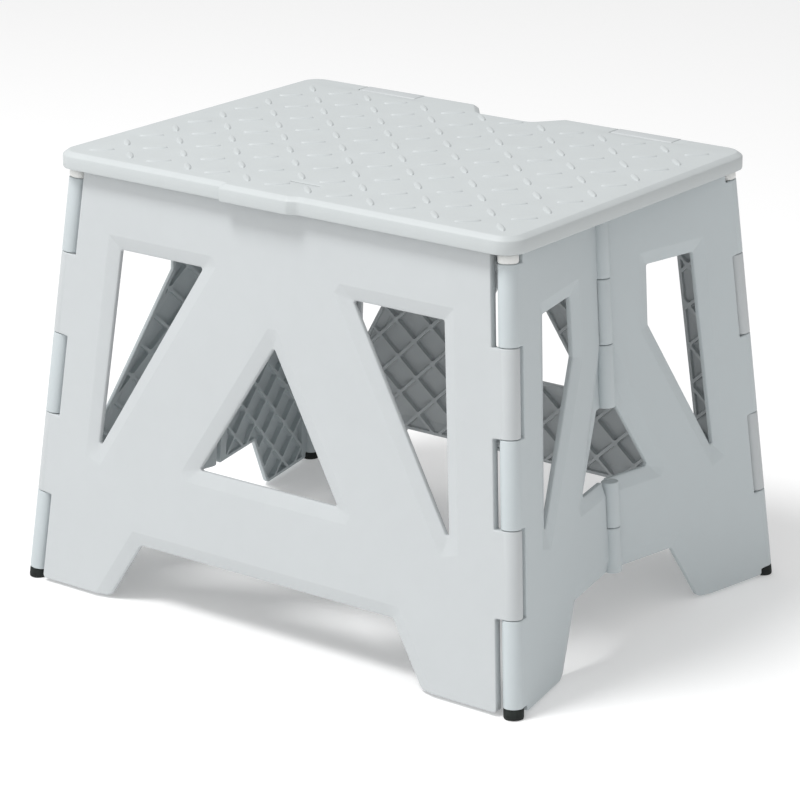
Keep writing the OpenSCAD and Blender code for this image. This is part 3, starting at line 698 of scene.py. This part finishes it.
def tread(shape):
    x, y = TREAD_X, TREAD_Y
    corners = [(-x, -y), (TAB_LEFT, -y), (TAB_LEFT, -y - TAB_REACH), (TAB_RIGHT, -y - TAB_REACH),
               (TAB_RIGHT + TAB_TAPER, -y), (x, -y), (x, y), (NOTCH_HALF + NOTCH_SLOPE, y),
               (NOTCH_HALF, y - NOTCH_DEPTH), (-NOTCH_HALF, y - NOTCH_DEPTH), (-NOTCH_HALF - NOTCH_SLOPE, y),
               (-x, y)]
    radii = [TREAD_CORNER, 1.2, 2.5, 6, 6, TREAD_CORNER, TREAD_CORNER, 5, 7, 7, 5, TREAD_CORNER]
    loop = fillet(corners, radii, 9)
    lug_half = LUG_LENGTH / 2 + 0.5
    slot_front = TREAD_HINGE.y - LUG_REACH - 1.0
    slots = [fillet([(s * LUG_PLACE - lug_half, slot_front), (s * LUG_PLACE + lug_half, slot_front),
                     (s * LUG_PLACE + lug_half, y + 9), (s * LUG_PLACE - lug_half, y + 9)], [1, 1, 0, 0])
             for s in (-1, 1)]
    cx, cy, length, width = SLIT
    slit = fillet([(cx - length / 2, cy - width / 2), (cx + length / 2, cy - width / 2),
                   (cx + length / 2, cy + width / 2), (cx - length / 2, cy + width / 2)], [0.7] * 4, 3)
    holes = slots + [slit]
    lines = [(loop, True)]
    steps = [0.15, 0.4, CHAMFER_ROUND, CHAMFER_W - CHAMFER_CREASE, CHAMFER_W, CHAMFER_W + CHAMFER_CREASE]
    lines += [(offset(loop, -d), True) for d in steps + [TREAD_RIM, TREAD_RIM + DRAFT]]
    for hole in holes:
        lines += [(hole, True)] + [(offset(hole, d), True) for d in (0.1, 0.3, 0.6)]
    low, high = loop.min(0) - 1, loop.max(0) + 1
    for turn in (1, -1):
        for k in range(-9, 10):
            for side in (-TREAD_RIB / 2 - DRAFT, -TREAD_RIB / 2, TREAD_RIB / 2, TREAD_RIB / 2 + DRAFT):
                lines += box_line(1, turn, (k * TREAD_RIB_PITCH + side) * math.sqrt(2), low, high)
    band = y - HINGE_BAND
    lines += [(np.array([(-x - 1, band - d), (x + 1, band - d)]), False) for d in (0, DRAFT)]
    lines += [(offset(slit, d), True) for d in (SLIT_WALL, SLIT_WALL + DRAFT)]

    def domain(p):
        ok = inside(loop, p)
        for hole in holes:
            ok &= ~inside(hole, p)
        return ok

    def hole_edge(p):
        d = np.full(len(p), 1e9)
        for hole in holes:
            d = np.minimum(d, distance(hole, p))
        return d

    def top(p):
        return TREAD_T - np.maximum(tread_edge_drop(distance(loop, p)), roundover(hole_edge(p), 0.6))

    def bottom(p):
        edge = distance(loop, p)
        depth = np.minimum(ramp(edge, TREAD_RIM), ramp(band - p[:, 1], 0))
        depth = np.minimum(depth, ramp(distance(slit, p), SLIT_WALL))
        for turn in (1, -1):
            along = (p[:, 0] + turn * p[:, 1]) / math.sqrt(2)
            aside = np.abs(along - TREAD_RIB_PITCH * np.round(along / TREAD_RIB_PITCH))
            depth = np.minimum(depth, ramp(aside, TREAD_RIB / 2))
        return roundover(edge, 0.7) + depth * (TREAD_T - TREAD_SKIN)

    relief(shape, Matrix.Translation((0, 0, UNDER)), domain, lines, top, bottom)
    for i in range(-7, 8):
        for j in range(-6, 7):
            px = BAR_X0 + BAR_PITCH_X * (i + 0.5)
            py = BAR_Y0 + BAR_PITCH_Y * j
            at = np.array([[px, py]])
            if (not inside(loop, at)[0] or distance(loop, at)[0] < BAR_TO_EDGE
                    or hole_edge(at)[0] < BAR_TO_HOLE):
                continue
            turn = math.pi / 4 if (i + j) % 2 == 0 else -math.pi / 4
            tread_bar(shape, px, py, turn, STAND)


# ---- Materials -------------------------------------------------------------------------------


def new_material(name):
    material = bpy.data.materials.new(name)
    material.use_nodes = True
    tree = material.node_tree
    return material, tree, tree.nodes["Principled BSDF"]


def node(tree, kind, **values):
    n = tree.nodes.new(kind)
    for key, value in values.items():
        if key in n.inputs:
            n.inputs[key].default_value = value
        else:
            setattr(n, key, value)
    return n


def noise(tree, coordinates, scale, detail=4.0, roughness=0.6):
    n = node(tree, "ShaderNodeTexNoise", Scale=scale, Detail=detail, Roughness=roughness)
    tree.links.new(coordinates, n.inputs["Vector"])
    return n.outputs["Fac"]


def remap(tree, value, to_low, to_high, low=0.3, high=0.7):
    """The middle of a noise's range, or another range, spread over a new one."""
    n = tree.nodes.new("ShaderNodeMapRange")
    n.inputs["From Min"].default_value = low
    n.inputs["From Max"].default_value = high
    n.inputs["To Min"].default_value = to_low
    n.inputs["To Max"].default_value = to_high
    tree.links.new(value, n.inputs["Value"])
    return n.outputs["Result"]


def plastic(name, colour, shade=0.02, rough=(0.42, 0.58), grain=0.10, grain_scale=2200.0, spec=0.45):
    """Moulded polypropylene: a fine spark-eroded grain, faint flow marks and light scuffs."""
    material, tree, shader = new_material(name)
    place = tree.nodes.new("ShaderNodeTexCoord").outputs["Object"]
    flow = noise(tree, place, 9.0, 3.0, 0.55)
    cloud = noise(tree, place, 70.0, 5.0, 0.65)
    fine = noise(tree, place, grain_scale, 3.0, 0.7)
    mix = node(tree, "ShaderNodeMix", data_type="RGBA")
    mix.inputs["A"].default_value = (*[c * (1 - shade) for c in colour], 1)
    mix.inputs["B"].default_value = (*[min(1, c * (1 + shade)) for c in colour], 1)
    both = node(tree, "ShaderNodeMath", operation="ADD")
    tree.links.new(remap(tree, flow, 0.0, 0.5), both.inputs[0])
    tree.links.new(remap(tree, cloud, 0.0, 0.5), both.inputs[1])
    tree.links.new(both.outputs["Value"], mix.inputs["Factor"])
    tree.links.new(mix.outputs["Result"], shader.inputs["Base Color"])
    tree.links.new(remap(tree, cloud, *rough), shader.inputs["Roughness"])
    shader.inputs["Specular IOR Level"].default_value = spec
    bump = node(tree, "ShaderNodeBump", Strength=grain, Distance=0.0002)
    tree.links.new(fine, bump.inputs["Height"])
    swell = node(tree, "ShaderNodeBump", Strength=0.04, Distance=0.0006)
    tree.links.new(cloud, swell.inputs["Height"])
    tree.links.new(bump.outputs["Normal"], swell.inputs["Normal"])
    tree.links.new(swell.outputs["Normal"], shader.inputs["Normal"])
    return material


def rubber(name):
    """Black rubber with a little dust."""
    material, tree, shader = new_material(name)
    place = tree.nodes.new("ShaderNodeTexCoord").outputs["Object"]
    dust = noise(tree, place, 260.0, 5.0, 0.7)
    mix = node(tree, "ShaderNodeMix", data_type="RGBA")
    mix.inputs["A"].default_value = (0.008, 0.010, 0.009, 1)
    mix.inputs["B"].default_value = (0.026, 0.032, 0.030, 1)
    tree.links.new(remap(tree, dust, 0.0, 1.0, 0.35, 0.75), mix.inputs["Factor"])
    tree.links.new(mix.outputs["Result"], shader.inputs["Base Color"])
    tree.links.new(remap(tree, dust, 0.55, 0.8), shader.inputs["Roughness"])
    shader.inputs["Specular IOR Level"].default_value = 0.25
    bump = node(tree, "ShaderNodeBump", Strength=0.3, Distance=0.0002)
    tree.links.new(dust, bump.inputs["Height"])
    tree.links.new(bump.outputs["Normal"], shader.inputs["Normal"])
    return material


def steel(name):
    """Drawn wire: fine lines along the pin and faint dull patches."""
    material, tree, shader = new_material(name)
    place = tree.nodes.new("ShaderNodeTexCoord").outputs["Object"]
    stretch = node(tree, "ShaderNodeMapping", Scale=(1.0, 1.0, 0.03))
    tree.links.new(place, stretch.inputs["Vector"])
    lines = noise(tree, stretch.outputs["Vector"], 3000.0, 2.0, 0.5)
    patch = noise(tree, place, 120.0, 4.0, 0.6)
    mix = node(tree, "ShaderNodeMix", data_type="RGBA")
    mix.inputs["A"].default_value = (0.42, 0.43, 0.44, 1)
    mix.inputs["B"].default_value = (0.6, 0.61, 0.62, 1)
    tree.links.new(patch, mix.inputs["Factor"])
    tree.links.new(mix.outputs["Result"], shader.inputs["Base Color"])
    shader.inputs["Metallic"].default_value = 1.0
    tree.links.new(remap(tree, lines, 0.28, 0.42), shader.inputs["Roughness"])
    bump = node(tree, "ShaderNodeBump", Strength=0.15, Distance=0.0001)
    tree.links.new(lines, bump.inputs["Height"])
    tree.links.new(bump.outputs["Normal"], shader.inputs["Normal"])
    return material


tread_plastic = plastic("tread_plastic", (0.525, 0.555, 0.56))
frame_plastic = plastic("frame_plastic", (0.525, 0.55, 0.56))
# End halves: the frame's plastic made a little bluer as painted shade, the cool cast that the shaded ends
# show
end_plastic = plastic("end_plastic", (0.525, 0.572, 0.588))
cap_nylon = plastic("cap_nylon", (0.74, 0.745, 0.73), 0.02, (0.3, 0.4), 0.05, 1500.0, 0.5)
foot_rubber = rubber("foot_rubber")
hinge_steel = steel("hinge_steel")

# ---- The pieces ------------------------------------------------------------------------------


def rubber_foot(line):
    """A foot under a corner barrel, cut off level with the floor."""
    shape = Shape()
    top = FOOT_H * HINGE_RATE
    turned(shape, line, [(2.0, -1.0), (5.4, -1.0), (6.1, -0.4), (6.25, 0.6), (6.25, top - 0.5),
                         (6.05, top - 0.1), (5.2, top), (2.0, top)])
    shape.points = [(x, y, max(z, 0.0)) for x, y, z in shape.points]
    return shape


def hinge_cap(line):
    """The cap over a corner pin."""
    shape = Shape()
    low = KNUCKLE_TOP * HINGE_RATE
    high = (FRAME_TOP - BARREL_R * SPLAY_Y / UNDER) * HINGE_RATE
    turned(shape, line, [(2.0, low), (5.6, low), (6.1, low + 0.4), (6.1, low + 0.9), (6.3, low + 1.2),
                         (6.3, high - 0.9), (6.0, high - 0.35), (5.4, high), (2.0, high)])
    return shape


shape = Shape()
tread(shape)
shape.make("tread", tread_plastic, "tread", ["top_panel"], "tread_plastic")

shape = Shape()
long_panel(shape, front_place)
shape.make("front_truss", frame_plastic, "front", ["front_panel"], "frame_plastic")

shape = Shape()
long_panel(shape, back_place)
for side in (-1, 1):
    tread_lug(shape, side * LUG_PLACE)
shape.make("back_truss", frame_plastic, "rear_frame", ["back_panel"], "frame_plastic")

for sx, end in ((1, "right"), (-1, "left")):
    for sy, place_name in ((-1, "front"), (1, "rear")):
        place = end_placed(sx, sy)
        body = f"{end}_{place_name}"
        shape = Shape()
        end_half(shape, place, sy < 0)
        shape.make(f"{body}_half", end_plastic, body, [f"{body}_side"], "end_plastic")

        line = place @ on_hinge(0, END_TILT)
        rubber_foot(line).make(f"rubber_foot_{body}", foot_rubber, body, [f"foot_{place_name}_{end}"],
                               "foot_rubber", 50)
        hinge_cap(line).make(f"hinge_cap_{body}", cap_nylon, body, [f"pin_cap_{place_name}_{end}"],
                             "cap_nylon", 50)

for name, obj in frame["nodes"].items():
    if "_pin_" in name:
        obj.data.materials.clear()
        obj.data.materials.append(hinge_steel)

# ---- Floor, light and camera -----------------------------------------------------------------

FLOOR_HALF, FLOOR_GLOW = 30.0, 0.24
SKY = (0.40, 0.82)                       # strength of the surroundings, behind and towards the light
KEY_PLACE, KEY_TARGET, KEY_SIZE, KEY_POWER = (-0.52, -1.04, 2.48), (0, 0, 0.14), 0.8, 45
CAMERA_PLACE, CAMERA_TARGET = (1.1574, -1.5681, 0.7758), (-0.0016, 0, 0.1219)
CAMERA_ROLL, CAMERA_LENS = 0.0028, 140.9


def floor():
    """A plain pale floor, lit from under like a studio sweep."""
    mesh = bpy.data.meshes.new("floor")
    h = FLOOR_HALF
    mesh.from_pydata([(-h, -h, 0), (h, -h, 0), (h, h, 0), (-h, h, 0)], [], [(0, 1, 2, 3)])
    obj = bpy.data.objects.new("floor", mesh)
    bpy.context.scene.collection.objects.link(obj)
    material, tree, shader = new_material("pale_floor")
    shader.inputs["Base Color"].default_value = (0.8, 0.8, 0.8, 1)
    shader.inputs["Roughness"].default_value = 0.8
    shader.inputs["Emission Color"].default_value = (1.0, 1.0, 1.0, 1)
    shader.inputs["Emission Strength"].default_value = FLOOR_GLOW
    mesh.materials.append(material)
    obj.location.z = -0.0002


def key_light():
    """A soft round light above the front."""
    light = bpy.data.lights.new("key", "AREA")
    light.shape = "DISK"
    light.size = KEY_SIZE
    light.energy = KEY_POWER
    obj = bpy.data.objects.new("key", light)
    bpy.context.scene.collection.objects.link(obj)
    obj.location = KEY_PLACE
    obj.rotation_euler = (Vector(KEY_TARGET) - Vector(KEY_PLACE)).to_track_quat("-Z", "Y").to_euler()


def studio():
    """White surroundings that are brightest towards the left front."""
    world = bpy.data.worlds.new("studio")
    bpy.context.scene.world = world
    world.use_nodes = True
    tree = world.node_tree
    background = tree.nodes["Background"]
    background.inputs["Color"].default_value = (1.0, 1.0, 1.0, 1)
    direction = tree.nodes.new("ShaderNodeTexCoord").outputs["Generated"]
    facing = node(tree, "ShaderNodeVectorMath", operation="DOT_PRODUCT")
    facing.inputs[1].default_value = Vector((-0.35, -0.9, 0.15)).normalized()
    tree.links.new(direction, facing.inputs[0])
    tree.links.new(remap(tree, facing.outputs["Value"], *SKY, -1.0, 1.0), background.inputs["Strength"])


def view():
    """A long lens from the right front."""
    camera = bpy.data.cameras.new("camera")
    camera.sensor_width = 36.0
    camera.lens = CAMERA_LENS
    camera.clip_start = 0.05
    camera.clip_end = 50
    obj = bpy.data.objects.new("camera", camera)
    bpy.context.scene.collection.objects.link(obj)
    obj.location = CAMERA_PLACE
    aim = (Vector(CAMERA_TARGET) - obj.location).to_track_quat("-Z", "Y")
    obj.rotation_euler = (aim.to_matrix() @ Matrix.Rotation(CAMERA_ROLL, 3, "Z")).to_euler()
    bpy.context.scene.camera = obj
    bpy.context.scene.view_settings.view_transform = "Standard"


floor()
studio()
key_light()
view()
